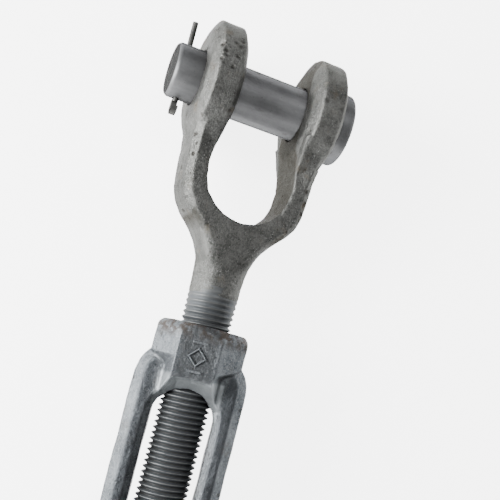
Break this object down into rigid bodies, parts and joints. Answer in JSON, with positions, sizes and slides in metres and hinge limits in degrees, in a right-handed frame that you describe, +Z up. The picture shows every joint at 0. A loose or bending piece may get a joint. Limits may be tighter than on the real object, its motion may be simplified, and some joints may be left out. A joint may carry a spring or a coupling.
{
  "type": "rigging turnbuckle",
  "caption": "Open-body galvanised turnbuckle with a jaw, clevis pin and cotter at each end, for tensioning rigging wire and chain.",
  "frame": {"origin": "middle of the body on the bolt axis, which is also the centre of the bounding box", "axes": "+X along the bolt axis towards jaw 1, +Z up, both clevis pins along Y"},
  "size_m": [0.832, 0.148, 0.09],
  "materials": {
    "body_forging": "hot-dip galvanised forging, matte grey",
    "jaw_forging": "hot-dip galvanised forging, matte grey, oiled threads",
    "clevis_pin": "hot-dip galvanised bar, satin",
    "cotter_wire": "bright zinc"
  },
  "bodies": {
    "body": {"turnbuckle_body": "body_forging"},
    "jaw_1": {"jaw_1": "jaw_forging"},
    "pin_1": {"jaw_1_pin": "clevis_pin"},
    "cotter_1": {"jaw_1_cotter": "cotter_wire"},
    "jaw_2": {"jaw_2": "jaw_forging"},
    "pin_2": {"jaw_2_pin": "clevis_pin"},
    "cotter_2": {"jaw_2_cotter": "cotter_wire"}
  },
  "joints": [
    {"name": "jaw_1_screw", "type": "slide", "parent": "body", "child": "jaw_1", "axis": [1, 0, 0], "range_m": [-0.025, 0.124]},
    {"name": "jaw_2_screw", "type": "slide", "parent": "body", "child": "jaw_2", "axis": [-1, 0, 0], "range_m": [-0.025, 0.124]},
    {"name": "pin_1_turn", "type": "hinge", "parent": "jaw_1", "child": "pin_1", "pos_m": [0.371, 0, 0], "axis": [0, 1, 0], "continuous": true},
    {"name": "pin_2_turn", "type": "hinge", "parent": "jaw_2", "child": "pin_2", "pos_m": [-0.371, 0, 0], "axis": [0, 1, 0], "continuous": true},
    {"name": "cotter_1_pull", "type": "slide", "parent": "pin_1", "child": "cotter_1", "axis": [-1, 0, 0], "range_m": [0, 0.065]},
    {"name": "cotter_2_pull", "type": "slide", "parent": "pin_2", "child": "cotter_2", "axis": [1, 0, 0], "range_m": [0, 0.065]}
  ],
  "couplings": [
    {"joint": "jaw_2_screw", "follows": "jaw_1_screw", "ratio": 1}
  ]
}
